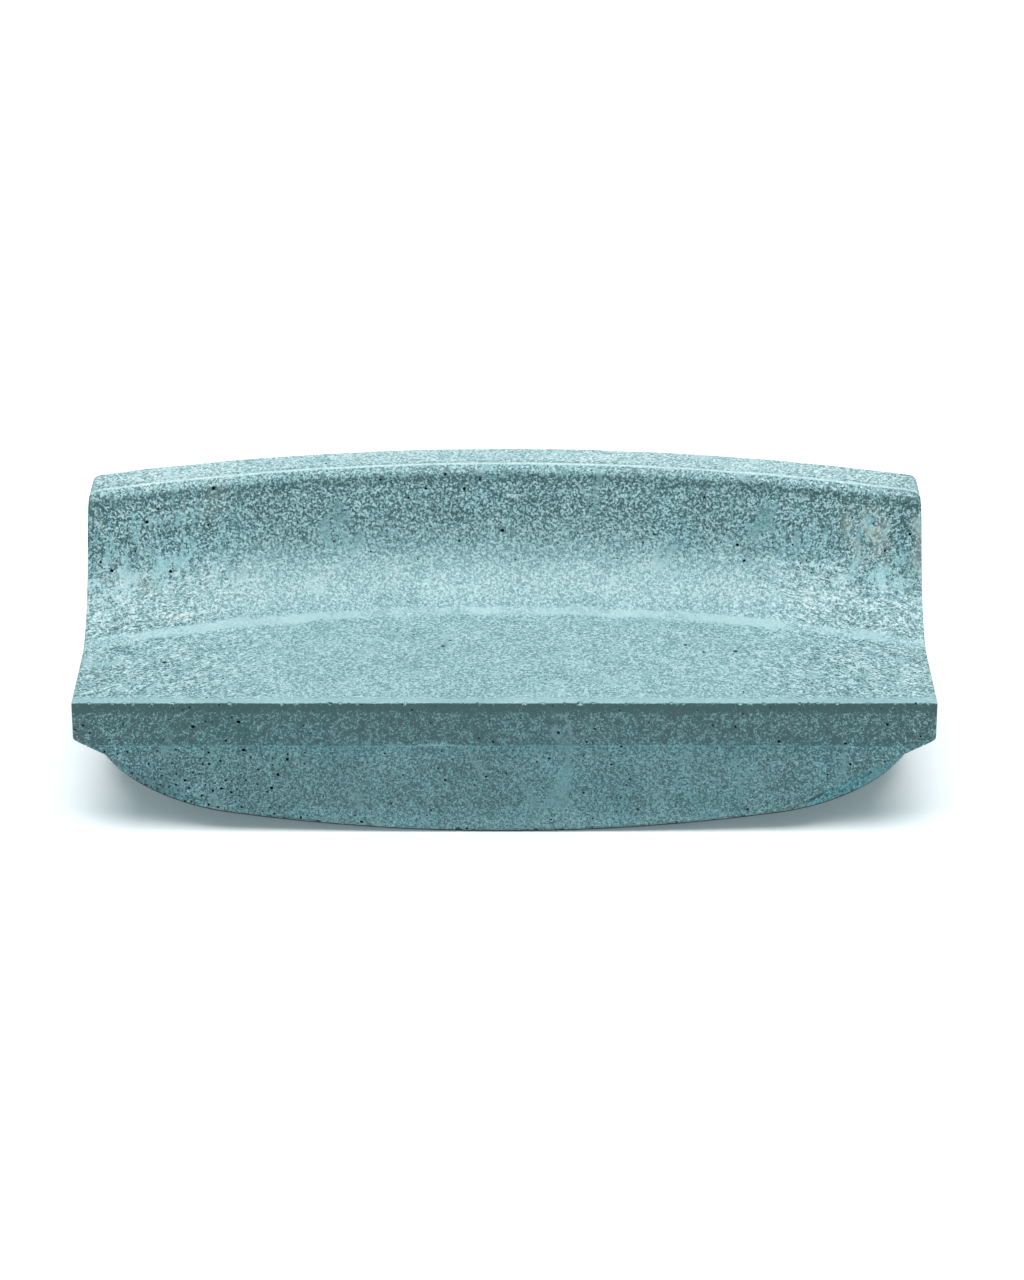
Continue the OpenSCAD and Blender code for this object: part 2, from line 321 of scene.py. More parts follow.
def swept_profile(deck):
    """Profile of cove, wall, lip and back, as distance behind the crease and height above the tread."""
    slope, start = deck.wall_slope, deck.cove_start
    up_wall = np.array([math.cos(slope), math.sin(slope)])
    into_wall = np.array([math.sin(slope), -math.cos(slope)])
    lip = LIP_Z - TREAD_Z
    cove_mid = deck.cove_radius * np.array([-math.sin(start), math.cos(start)])
    cove_top = cove_mid + deck.cove_radius * into_wall
    wall_end_z = lip - deck.nose_radius * (1 - math.cos(slope))
    wall_end = cove_top + up_wall * (wall_end_z - cove_top[1]) / up_wall[1]
    nose_mid = wall_end + deck.nose_radius * into_wall
    lip_back = nose_mid[0] + deck.lip_depth
    back_foot = cove_top + deck.wall_thickness * into_wall
    back_top = back_foot[1] + (lip_back - back_foot[0]) * up_wall[1] / up_wall[0]
    right = math.pi / 2
    cove = turn(cove_mid, deck.cove_radius, start - right, slope - right, 34)
    nose = turn(nose_mid, deck.nose_radius, right + slope, right, 24)
    top = run(nose[-1], (lip_back - deck.end_wear, lip), count=22)
    back_edge = turn((lip_back - deck.end_wear, lip - deck.end_wear), deck.end_wear, right, 0, 5)
    profile = np.vstack([
        cove[:-1],
        run(cove[-1], nose[0], deck.grid),
        nose[:-1],
        top,
        back_edge,
        run((lip_back, back_top), back_foot, deck.grid),
        run(back_foot, (back_foot[0], JOINT_Z - TREAD_Z + deck.end_wear), deck.grid),
    ])
    return profile, nose_mid[0], lip_back, back_foot[0]


def arch_axis(deck):
    """Depth of the upright axis that the deck is swept round."""
    lip_back = swept_profile(deck)[2]
    return BACK_Y - lip_back - deck.arch_radius


def rounding(to_end, radius):
    """How far a rounded end has fallen back at a distance from the end."""
    if to_end >= radius:
        return 0.0
    return radius - math.sqrt(radius**2 - (radius - to_end) ** 2)


def corner_line(x, deck, rocker):
    """Height of the diagonal underside of the corners at a place along the board."""
    inner = ROCKER_HIGH.x - rocker.front_corner
    low = rocker.rolling_radius - math.sqrt(rocker.rolling_radius**2 - inner**2)
    high = JOINT_Z + deck.corner_rise
    return low + (abs(x) - inner) * (high - low) / (HALF_LENGTH - inner)


def deck_outline(deck, rocker, concrete):
    """Returns a function that gives the deck's outline, depth and height, at a place along the board."""
    profile, nose_line, _, back_foot = swept_profile(deck)
    axis = arch_axis(deck)
    right = math.pi / 2
    bead_line = nose_line - deck.bead_forward
    bead = deck.bead_height * np.exp(-(((profile[:, 0] - bead_line) / deck.bead_width) ** 2))
    trough_line = bead_line + 3.2 * deck.bead_width
    trough = 0.45 * deck.bead_height * np.exp(-(((profile[:, 0] - trough_line) / deck.bead_width) ** 2))
    top_side = profile[:, 1] > LIP_Z - TREAD_Z - 2 * MM
    relief = np.where(top_side, bead - trough, 0.0)
    near_lip = np.clip(1 - (LIP_Z - TREAD_Z - profile[:, 1]) / (3 * deck.lip_corner), 0.0, 1.0)
    tread_count = int(90 * MM / deck.grid)
    bottom_count = int(110 * MM / deck.grid)
    front_count = int((TREAD_Z - JOINT_Z) / deck.grid)

    def section(x):
        to_end = HALF_LENGTH - abs(x)
        inset = rounding(to_end, deck.end_wear)
        near_end = max(0.0, 1 - to_end / (4 * deck.end_wear))
        at_end = 1.15 * deck.end_wear * near_end
        front_edge = max(wear(deck.edge_wear, x, concrete.seed), at_end, LEAST_EDGE)
        seam_edge = max(wear(rocker.seam_wear, x, concrete.seed + 5), at_end, LEAST_SEAM)
        bottom = max(JOINT_Z, corner_line(x, deck, rocker))
        reach = np.sqrt((deck.arch_radius + profile[:, 0]) ** 2 - x**2)
        height = profile[:, 1] + TREAD_Z - rounding(to_end, deck.lip_corner) * near_lip
        height = np.maximum(height, bottom + deck.end_wear)
        swept = np.column_stack([axis + reach, height + relief])
        crease = axis + math.sqrt(deck.arch_radius**2 - x**2)
        back = axis + math.sqrt((deck.arch_radius + back_foot) ** 2 - x**2)
        front_low = turn((FRONT_Y + seam_edge, bottom + seam_edge), seam_edge, 3 * right, 2 * right, 4)
        arris = turn((FRONT_Y + front_edge, TREAD_Z - front_edge), front_edge, 2 * right, right, 5)
        back_low = turn((back - deck.end_wear, bottom + deck.end_wear), deck.end_wear, 0, -right, 4)
        parts = [
            (front_low[:-1], 0.0),
            (run(front_low[-1], arris[0], count=front_count), 1.0),
            (arris[:-1], 0.6),
            (run(arris[-1], (crease, TREAD_Z), count=tread_count), 1.0),
            (swept, 1.0),
            (back_low, 0.0),
            (run(back_low[-1], front_low[0], count=bottom_count)[1:], 0.0),
        ]
        outline = np.vstack([points for points, _ in parts])
        loose = np.concatenate([np.full(len(points), value) for points, value in parts])
        places = np.column_stack([np.full(len(outline), x), outline])
        moved = offset(outline, swell(places, concrete, concrete.seed), loose * (1 - near_end))
        return offset(moved, -inset, np.ones(len(outline)))

    return section


# ---------------------------------------------------------------- rocker


def rocker_outline(deck, rocker, concrete):
    """Returns a function that gives the rocker's outline, depth and height, at a place along the board."""
    half = ROCKER_HIGH.x
    axis = arch_axis(deck)
    back_foot = swept_profile(deck)[3]
    rear = deck.arch_radius + back_foot - rocker.back_setback
    back_x = half - rocker.back_corner
    back_y = axis + math.sqrt((rear - rocker.back_corner) ** 2 - back_x**2)
    back_tangent = back_x * rear / (rear - rocker.back_corner)
    front_x = half - rocker.front_corner
    front_y = FRONT_Y + rocker.front_corner
    top = JOINT_Z
    right = math.pi / 2

    def back_at(x, inset):
        if abs(x) <= back_tangent:
            return axis + math.sqrt((rear - inset) ** 2 - x**2)
        room = (rocker.back_corner - inset) ** 2 - (abs(x) - back_x) ** 2
        return back_y + math.sqrt(max(0.0, room))

    def wall_at(x, inset):
        if abs(x) <= front_x:
            return FRONT_Y + inset
        room = (rocker.front_corner - inset) ** 2 - (abs(x) - front_x) ** 2
        return front_y - math.sqrt(max(0.0, room))

    def under_at(x, inset):
        radius = rocker.rolling_radius - inset
        return rocker.rolling_radius - math.sqrt(radius**2 - x**2)

    def section(x):
        low = under_at(x, rocker.sole_proud)
        wall, back = wall_at(x, 0.0), back_at(x, 0.0)
        in_sole = abs(x) < half - rocker.sole_margin
        seat = under_at(x, rocker.sole_thickness) if in_sole else low
        seat_front = wall_at(x, rocker.sole_margin) if in_sole else wall + rocker.sole_margin
        seat_back = back_at(x, rocker.sole_margin) if in_sole else back - rocker.sole_margin
        edge = 0.4 * rocker.sole_margin
        seam = max(wear(rocker.seam_wear, x, concrete.seed + 7), LEAST_SEAM)
        ledge = max(corner_line(x, deck, rocker), low + edge) if abs(x) > front_x else low + edge
        has_corner = ledge < top - THIN
        ledge = min(ledge, top)
        tip = FRONT_Y if has_corner else wall
        room = 0.45 * (top - ledge) if has_corner else 0.0
        soft = min(wear(rocker.edge_wear, x, concrete.seed + 9), room)
        seam = min(seam, room)
        back_top = turn((back - rocker.edge_wear, top - rocker.edge_wear), rocker.edge_wear, right, 0, 4)
        back_low = turn((back - edge, low + edge), edge, 0, -right, 4)
        front_low = turn((wall + edge, low + edge), edge, -right, -2 * right, 4)
        tip_low = turn((tip + soft, ledge + soft), soft, -right, -2 * right, 5)
        tip_top = turn((tip + seam, top - seam), seam, 2 * right, right, 4)
        parts = [
            (back_top[:-1], 0.0),
            (run(back_top[-1], back_low[0], count=16), 1.0),
            (back_low[:-1], 0.3),
            (run(back_low[-1], (seat_back, low), count=1), 0.0),
            (run((seat_back, low), (seat_back, seat), count=1), 0.0),
            (run((seat_back, seat), (seat_front, seat), count=60), 0.0),
            (run((seat_front, seat), (seat_front, low), count=1), 0.0),
            (run((seat_front, low), front_low[0], count=1), 0.0),
            (front_low[:-1], 0.3),
            (run(front_low[-1], (wall, ledge), count=16), 1.0),
            (run((wall, ledge), tip_low[0], count=24), 0.6),
            (tip_low[:-1], 0.6),
            (run(tip_low[-1], tip_top[0], count=20), 1.0),
            (tip_top[:-1], 0.0),
            (run(tip_top[-1], back_top[0], count=60), 0.0),
        ]
        outline = np.vstack([points for points, _ in parts])[::-1]
        loose = np.concatenate([np.full(len(points), value) for points, value in parts])[::-1]
        places = np.column_stack([np.full(len(outline), x), outline])
        return offset(outline, swell(places, concrete, concrete.seed + 20), loose * has_corner)

    return section


def rocker_stations(deck, rocker):
    """Places along the rocker, closer together where its corners are round."""
    half = ROCKER_HIGH.x
    front_x = half - rocker.front_corner
    back_x = half - rocker.back_corner
    low = rocker.rolling_radius - math.sqrt(rocker.rolling_radius**2 - front_x**2)
    slope = (JOINT_Z + deck.corner_rise - low) / (HALF_LENGTH - front_x)
    corner_end = front_x + (JOINT_Z - THIN - low) / slope
    sole_end = half - rocker.sole_margin
    marks = [corner_end - HAIR, corner_end + HAIR, sole_end - HAIR, sole_end + HAIR, half]
    for degrees in range(0, 90, 3):
        marks.append(front_x + rocker.front_corner * math.sin(math.radians(degrees)))
    for degrees in range(30, 90, 6):
        marks.append(back_x + rocker.back_corner * math.sin(math.radians(degrees)))
    marks = sorted(marks)
    kept = [marks[0]]
    for mark in marks[1:]:
        paired = any(abs(mark - m) < 3 * HAIR for m in (corner_end, sole_end))
        if paired or mark == half or mark - kept[-1] > 0.15 * MM:
            kept.append(mark)
    return stations(half, rocker.grid, kept)


# ---------------------------------------------------------------- holes, pits and chips


def stack(name, rings):
    """A closed mesh through rings of points, from the lowest to the highest."""
    size = len(rings[0])
    faces = [tuple(range(size - 1, -1, -1)), tuple(range((len(rings) - 1) * size, len(rings) * size))]
    for level in range(len(rings) - 1):
        for i in range(size):
            j = (i + 1) % size
            a, b = level * size, (level + 1) * size
            faces.append((a + i, a + j, b + j, b + i))
    mesh = bpy.data.meshes.new(name)
    mesh.from_pydata(np.vstack(rings).tolist(), [], faces)
    return mesh


def round_ring(x, y, z, radius, count=48):
    """A ring of points at one height."""
    angles = np.arange(count) * 2 * math.pi / count
    return np.column_stack([x + radius * np.cos(angles), y + radius * np.sin(angles), np.full(count, z)])


def hexagon_ring(x, y, z, across, count=48):
    """A ring of points along a hexagon at one height."""
    angles = np.arange(count) * 2 * math.pi / count
    within = (angles + math.pi / 6) % (math.pi / 3) - math.pi / 6
    radius = across / 2 / np.cos(within)
    turned = angles + math.pi / 6
    return np.column_stack([x + radius * np.cos(turned), y + radius * np.sin(turned), np.full(count, z)])


def bolt_places(holes):
    """The four bolts, from where their washers are."""
    reach = holes.washer_width / 2
    rows = (WASHER_LOW.y + reach, WASHER_HIGH.y - reach)
    return [(side * (WASHER_HIGH.x - reach), y) for side in (-1, 1) for y in rows]


def bolt_hole(x, y, holes):
    """Space of one bolt in the rocker: a wide pocket with a narrow hole above."""
    wide, narrow = holes.pocket_width / 2, holes.shank_hole / 2
    shoulder, top = holes.pocket_height, JOINT_Z + BEYOND
    levels = [(-BEYOND, wide), (shoulder, wide), (shoulder, narrow), (top, narrow)]
    return stack("bolt_hole", [round_ring(x, y, z, radius) for z, radius in levels])


def insert_hole(x, y, holes):
    """Space of one insert in the deck: a hexagon with a round neck."""
    below = JOINT_Z - BEYOND
    neck = JOINT_Z + holes.neck_low
    neck_top = neck + holes.neck_height
    top = JOINT_Z + holes.insert_height
    rings = [hexagon_ring(x, y, z, holes.insert_width) for z in (below, neck)]
    rings += [round_ring(x, y, z, holes.neck_width / 2) for z in (neck, neck_top)]
    rings += [hexagon_ring(x, y, z, holes.insert_width) for z in (neck_top, top)]
    return stack("insert_hole", rings)


def joined(name, meshes):
    """One mesh that holds them all."""
    shape = bmesh.new()
    for mesh in meshes:
        shape.from_mesh(mesh)
    whole = bpy.data.meshes.new(name)
    shape.to_mesh(whole)
    shape.free()
    return whole


def solid_copy(node):
    """A closed copy of a CAD node's mesh, for cutting its place out of a casting."""
    mesh = frame["nodes"][node].data.copy()
    mesh.materials.clear()
    shape = bmesh.new()
    shape.from_mesh(mesh)
    bmesh.ops.remove_doubles(shape, verts=shape.verts, dist=SAME_POINT)
    bmesh.ops.recalc_face_normals(shape, faces=shape.faces)
    shape.to_mesh(mesh)
    shape.free()
    return mesh


def scatter(mesh, density, count, rng, spacing):
    """Random places on a mesh, denser where density(centres, normals) is higher, and apart by a spacing."""
    mesh.calc_loop_triangles()
    corners = np.array([triangle.vertices for triangle in mesh.loop_triangles])
    points = np.empty(len(mesh.vertices) * 3)
    mesh.vertices.foreach_get("co", points)
    a, b, c = (points.reshape(-1, 3)[corners[:, i]] for i in range(3))
    cross = np.cross(b - a, c - a)
    area = np.linalg.norm(cross, axis=1)
    normals = cross / np.maximum(area, 1e-12)[:, None]
    weights = area * density((a + b + c) / 3, normals)
    found = []
    for index in rng.choice(len(weights), size=3 * count, p=weights / weights.sum()):
        u, v = rng.random(2)
        if u + v > 1:
            u, v = 1 - u, 1 - v
        place = a[index] + u * (b[index] - a[index]) + v * (c[index] - a[index])
        if all(np.linalg.norm(place - other) > spacing for other, _ in found):
            found.append((place, normals[index]))
        if len(found) == count:
            break
    return found


def lump(place, radius, rng, rough):
    """A small uneven ball."""
    shape = bmesh.new()
    bmesh.ops.create_icosphere(shape, subdivisions=1, radius=radius)
    stretch = rng.uniform(0.75, 1.3, 3)
    for vertex in shape.verts:
        vertex.co = Vector(np.array(vertex.co) * stretch * (1 + rng.uniform(-rough, rough))) + Vector(place)
    mesh = bpy.data.meshes.new("lump")
    shape.to_mesh(mesh)
    shape.free()
    return mesh


def pits(mesh, density, concrete, rng):
    """Air holes: balls half sunk in the surface."""
    found = scatter(mesh, density, concrete.pits, rng, 5.2 * concrete.pit_radius)
    made = []
    for place, normal in found:
        radius = concrete.pit_radius * min(2.4, math.exp(rng.normal(0, 0.42)))
        made.append(lump(place - 0.5 * radius * normal, radius, rng, 0.08))
    return made


def chips(edge_points, concrete, rng, count):
    """Chips: rough lumps along an edge."""
    made, taken = [], []
    for index in rng.permutation(len(edge_points)):
        place = edge_points[index]
        if len(made) == count:
            break
        radius = concrete.chip_radius * min(2.2, math.exp(rng.normal(0, 0.45)))
        if all(np.linalg.norm(place - other) > 3.0 * (radius + size) / 2 for other, size in taken):
            taken.append((place, radius))
            centre = place + rng.uniform(-0.35, 0.35, 3) * radius
            made.append(lump(centre, radius, rng, 0.22))
    return made


def cut(piece, cutters, slot=0):
    """Cuts closed meshes out of a piece, and gives the new faces one of its material slots."""
    tool = bpy.data.objects.new("cutter", joined("cutter", cutters))
    for material in piece.data.materials:
        tool.data.materials.append(material)
    tool.data.polygons.foreach_set("material_index", [slot] * len(tool.data.polygons))
    bpy.context.collection.objects.link(tool)
    modifier = piece.modifiers.new("cut", "BOOLEAN")
    modifier.operation = "DIFFERENCE"
    modifier.solver = "MANIFOLD"
    modifier.object = tool
    graph = bpy.context.evaluated_depsgraph_get()
    result = bpy.data.meshes.new_from_object(piece.evaluated_get(graph))
    if len(result.polygons) < len(piece.data.polygons) // 2:
        raise RuntimeError(f"{piece.name}: the cut failed")
    piece.modifiers.clear()
    piece.data = result
    bpy.data.objects.remove(tool)


def cast(scene, name, mesh, drift, castings, density, rng, edge, chip_count):
    """A casting, with the places of what it holds, its air holes and its chips cut out of it."""
    concrete = scene.board_concrete
    surface = concrete_material(
        f"{name}_concrete", concrete, scene.board_deck, scene.board_rocker, drift
    )
    # The holes' material paints shade inside the air holes
    piece = new_piece(name, mesh, surface, hole_shade_material(f"{name}_holes", concrete))
    air_holes = pits(piece.data, density, concrete, rng)
    cut(piece, castings)
    cut(piece, air_holes, slot=1)
    cut(piece, chips(edge, concrete, rng, chip_count))
    return piece


def finished(piece, *nodes):
    """Shades a casting and puts it in the place of its CAD nodes."""
    piece.data.shade_smooth()
    piece.data.set_sharp_from_angle(angle=SHARP)
    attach(piece, BODY)
    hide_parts(*nodes)


def new_piece(name, mesh, *materials):
    """A new object of the board."""
    piece = bpy.data.objects.new(name, mesh)
    for material in materials:
        mesh.materials.append(material)
    bpy.context.collection.objects.link(piece)
    return piece


# ---------------------------------------------------------------- materials


class Signal:
    """A value inside a material, which can be added, subtracted and multiplied."""

    def __init__(self, recipe, socket):
        self.recipe = recipe
        self.socket = socket

    def __add__(self, other):
        return self.recipe.math("ADD", self, other)

    def __sub__(self, other):
        return self.recipe.math("SUBTRACT", self, other)

    def __rsub__(self, other):
        return self.recipe.math("SUBTRACT", other, self)

    def __mul__(self, other):
        return self.recipe.math("MULTIPLY", self, other)

    def __abs__(self):
        return self.recipe.math("ABSOLUTE", self)

    __radd__ = __add__


class Recipe:
    """One material, made from nodes."""

    def __init__(self, name):
        self.material = bpy.data.materials.new(name)
        self.material.use_nodes = True
        self.tree = self.material.node_tree
        self.tree.nodes.clear()
        output = self.add("ShaderNodeOutputMaterial")
        self.shader = self.add("ShaderNodeBsdfPrincipled")
        self.tree.links.new(self.shader.outputs["BSDF"], output.inputs["Surface"])
        self.place = self.add("ShaderNodeTexCoord").outputs["Object"]

    def add(self, kind, inputs=(), **settings):
        """Adds a node and feeds its inputs, given as pairs of a name or number and a value."""
        node = self.tree.nodes.new(kind)
        for name, value in settings.items():
            setattr(node, name, value)
        for socket, value in inputs:
            self.feed(node.inputs[socket], value)
        return node

    def feed(self, socket, value):
        """Links a value to a socket, or sets the socket's own value."""
        if isinstance(value, Signal):
            value = value.socket
        if isinstance(value, bpy.types.NodeSocket):
            self.tree.links.new(value, socket)
        elif socket.type == "RGBA" and len(value) == 3:
            socket.default_value = (*value, 1.0)
        else:
            socket.default_value = value

    def surface(self, values):
        """Feeds the inputs of the surface itself."""
        for name, value in values.items():
            self.feed(self.shader.inputs[name], value)

    def math(self, operation, *values):
        """The result of one operation on the values."""
        node = self.add("ShaderNodeMath", enumerate(values), operation=operation)
        return Signal(self, node.outputs[0])

    def most(self, first, *others):
        """The largest of several values."""
        for other in others:
            first = self.math("MAXIMUM", first, other)
        return first

    def step(self, value, low, high, start=0.0, end=1.0):
        """Goes smoothly from start to end as the value goes from low to high."""
        names = ("Value", "From Min", "From Max", "To Min", "To Max")
        inputs = zip(names, (value, low, high, start, end))
        node = self.add("ShaderNodeMapRange", inputs, interpolation_type="SMOOTHSTEP")
        return Signal(self, node.outputs["Result"])

    def band(self, value, middle, half_width, soft):
        """One inside a band of values, falling to nothing outside it."""
        return self.step(abs(value - middle), half_width, half_width + soft, 1.0, 0.0)

    def mix(self, factor, a, b, blend="MIX"):
        """Two colours blended by a factor."""
        node = self.add("ShaderNodeMix", [("Factor", factor)], data_type="RGBA", blend_type=blend)
        colours = [socket for socket in node.inputs if socket.type == "RGBA"]
        self.feed(colours[0], a)
        self.feed(colours[1], b)
        return next(socket for socket in node.outputs if socket.type == "RGBA")

    def ramp(self, factor, *stops):
        """A colour that changes through the stops, each a place and a colour."""
        node = self.add("ShaderNodeValToRGB", [("Fac", factor)])
        points = node.color_ramp.elements
        while len(points) < len(stops):
            points.new(1.0)
        for point, (place, tint) in zip(points, stops):
            point.position = place
            point.color = (*tint, 1.0)
        return node.outputs["Color"]

    def noise(self, place, spacing, detail=2.0, roughness=0.5, distortion=0.0):
        """Noise whose lumps are about a spacing apart."""
        names = ("Vector", "Scale", "Detail", "Roughness", "Distortion")
        inputs = zip(names, (place, 1.0 / spacing, detail, roughness, distortion))
        return Signal(self, self.add("ShaderNodeTexNoise", inputs).outputs["Fac"])

    def split(self, vector):
        """The three parts of a vector."""
        node = self.add("ShaderNodeSeparateXYZ", [(0, vector)])
        return [Signal(self, output) for output in node.outputs]

    def facing(self):
        """The three parts of the direction in which the surface looks."""
        return self.split(self.add("ShaderNodeNewGeometry").outputs["Normal"])

    def vector(self, *parts):
        """A vector from its three parts."""
        return self.add("ShaderNodeCombineXYZ", enumerate(parts)).outputs[0]

    def bump(self, height, distance, strength):
        """Fine relief of the surface."""
        inputs = (("Height", height), ("Distance", distance), ("Strength", strength))
        self.surface({"Normal": self.add("ShaderNodeBump", inputs).outputs["Normal"]})


def concrete_material(name, concrete, deck, rocker, drift):
    """Pigmented cast concrete: flecks, strokes of mould release, lime bloom, stains and fine grain.

    The tone depends on the place on the board and on whether the surface looks up or is upright. Part of it
    is painted light and shade: tops are painted lighter and upright faces and the wall darker, as light
    from above would leave them, with painted highlights and painted shade at the nose, the crease, under
    the front edge, low on the front and round the rocker's corners.
    """
    recipe = Recipe(name)
    place = recipe.place
    x, y, z = recipe.split(place)
    facing = recipe.facing()
    upward = recipe.step(facing[2], 0.05, 0.85)
    side = abs(x)

    def rise(base, low, high):
        """Goes from nothing to one between two heights, in millimetres from a base."""
        return recipe.step(z, base + low * MM, base + high * MM)

    # Distance behind the crease, seen from above
    from_axis = y - arch_axis(deck)
    behind = recipe.math("SQRT", x * x + from_axis * from_axis) - deck.arch_radius
    above = rise(TREAD_Z, -1, 0.5)
    bead_line = swept_profile(deck)[1] - deck.bead_forward

    # Slow changes over the casting
    cloud = recipe.noise(place, 70 * MM, 3.0, 0.55)
    mottle = recipe.noise(place, 16 * MM, 3.0, 0.6, 0.4)
    uneven = mottle - 0.5
    wander = uneven * (5 * MM)
    # Upright faces and the wall are painted darker in the tone below: painted shade, as light from above
    # leaves them
    upright = (1 - upward) * (1 - above)
    on_wall = rise(TREAD_Z, 16, 46) * (1 - upward) * rise(LIP_Z, 0, -7)
    near_end = recipe.step(side, 0.55 * HALF_LENGTH, 0.85 * HALF_LENGTH)
    # The flat top of the lip is painted lighter in the tone below: painted light from above
    lip_top = rise(LIP_Z, -6, -1) * upward

    # Smooth places: dried skin, the band along the crease, also painted lighter as a highlight, and the
    # band behind the front edge, also painted a little lighter as a highlight
    skin = recipe.noise(recipe.vector(x, y, z * 0.5), 15 * MM, 3.0, 0.6, 0.8)
    skin = recipe.step(skin, 0.60, 0.66)
    broken = recipe.step(recipe.noise(place, 26 * MM, 2.0, 0.5), 0.40, 0.56, 0.45, 1.0)
    # Smoother band along the crease, which the tone also paints lighter: a painted highlight
    crease_highlight_band = recipe.band(behind + wander, 3.2 * MM, 1.8 * MM, 2.0 * MM) * above * broken
    # Smoother band behind the front edge, which calm paints a little lighter: a painted highlight
    front_band = upward * recipe.step(y, FRONT_Y + 3 * MM, FRONT_Y + 8 * MM, 1.0, 0.0)
    smear = recipe.noise(recipe.vector(x * 1.7, y, z * 0.45), 8 * MM, 3.0, 0.6, 0.6)
    smear = recipe.step(smear, 0.53, 0.58) * near_end * rise(TREAD_Z, 10, 20) * rise(LIP_Z, -8, -14)
    high = rise(LIP_Z, -2, -0.5)
    # Painted highlight: a thin bright line along the nose bead, which is also kept smooth
    nose_highlight = high * recipe.band(behind, bead_line, 0.6 * MM, 0.6 * MM)
    skin = recipe.most(skin, smear, nose_highlight)
    calm = recipe.most(skin * 0.75, recipe.most(crease_highlight_band, front_band))

    # Flecks, coarser and stronger on the wall
    fleck = recipe.noise(place, concrete.fleck_size, 2.0, 0.55, 0.5)
    fleck = recipe.step(fleck, 0.42, 0.60, -1.0, 1.0)
    fine = recipe.step(recipe.noise(place, concrete.grain_size, 1.5, 0.55), 0.36, 0.64, -1.0, 1.0)
    contrast = 0.15 + on_wall * 0.18 + near_end * 0.04 + lip_top * 0.05
    coarse = fleck * (1 - upright * 0.25)
    flecks = contrast * (1 - calm * 0.8) * (coarse + fine * 0.8)

    # Strokes, slanting away from mid length towards both ends
    along = y + z
    slant = math.radians(36)
    drawn = side * math.cos(slant) + along * -math.sin(slant)
    across = side * math.sin(slant) + along * math.cos(slant)
    stretched = recipe.vector(drawn * 0.36, across, recipe.math("SIGN", x) * 0.11)
    stroke = recipe.noise(stretched, 0.28 * concrete.stroke_length, 1.5, 0.45, 1.1)
    stroke = recipe.step(stroke, 0.49, 0.56)
    zone = recipe.step(side + (cloud - 0.5) * 0.14, 90 * MM, 160 * MM)
    zone = zone * rise(TREAD_Z, 38, 14) * (1 - calm) * (0.35 + above * 0.65)
    zone = zone * recipe.step(abs(facing[0]), 0.7, 0.4)
    strokes = zone * (stroke - 0.46) * 0.31

    # Dark marbling on the front face, and painted shade in a strip under its edge
    marble = recipe.step(recipe.noise(place, 4 * MM, 4.0, 0.72, 0.8), 0.51, 0.55)
    marbling = marble * upright * (0.3 + rise(JOINT_Z, -1, 3) * 0.7)
    # Painted shade: a dark strip on the front face just under the front edge
    shade_under_edge = rise(TREAD_Z, -6.5, -2.5) * upright * (0.55 + mottle)

    # The ends of the wall, the nose with its painted highlight and painted shade, a lighter band low in the
    # cove, and a line left by the pour
    # Painted shade: a dark line in the trough just behind the nose bead
    nose_trough_shade = recipe.band(behind, bead_line + 2.6 * MM, 0.8 * MM, 0.8 * MM)
    # Painted shade: the rounded nose of the lip is painted darker, as it turns away from the light above
    roll = rise(LIP_Z, -9, -4) * recipe.step(behind, bead_line, bead_line - 1 * MM)
    # A lighter band across the lower part of the cove
    cove_lighter_band = recipe.band(z, TREAD_Z + 19 * MM, 6 * MM, 15 * MM) * above
    wall_end = recipe.step(side, HALF_LENGTH - 14 * MM, HALF_LENGTH - 5 * MM)
    wall_end = wall_end * above * rise(TREAD_Z, 10, 22)
    pour_line = recipe.band(z + uneven * (2 * MM), TREAD_Z + 22.5 * MM, 0.4 * MM, 0.8 * MM)
    pour_line = pour_line * recipe.band(x, 0.65 * HALF_LENGTH, 28 * MM, 18 * MM) * above

    # The rocker's face and its foot, painted lighter as painted floor-bounce light, and its round front
    # corners, painted lighter and bluer as painted floor-bounce light, with painted shade in a line under
    # their ledge
    # Painted light: the face below the joint is painted lighter and bluer, as light bounced off the floor
    bounce_lit_lower_face = rise(JOINT_Z, 1, -1) * upright
    # Painted light: upright faces near the floor are painted lighter, as light bounced off the floor
    foot = rise(0, 16, 2) * upright
    inner = ROCKER_HIGH.x - rocker.front_corner
    corner_back = FRONT_Y + rocker.front_corner
    # Painted light: the round front corners of the rocker are painted lighter and bluer, as light bounced
    # off the floor, and more so on the right, where the light fell
    corner = rise(JOINT_Z, 0, -2) * recipe.step(y, FRONT_Y + 0.8 * MM, FRONT_Y + 1.6 * MM)
    corner = corner * recipe.step(x, -50 * MM, 50 * MM, 0.2, 1.0)
    corner = corner * recipe.step(side, inner - 1 * MM, inner + 1 * MM)
    corner = corner * recipe.step(y, corner_back, corner_back - 0.5 * rocker.front_corner)
    start = corner_line(inner, deck, rocker)
    climb = (corner_line(HALF_LENGTH, deck, rocker) - start) / (HALF_LENGTH - inner)
    below_ledge = (start - climb * inner) + side * climb + z * -1
    # Painted shade: a dark line on the round corners just under the ledge
    shade_under_ledge = corner * recipe.band(below_ledge, 0.8 * MM, 1.2 * MM, 0.8 * MM)

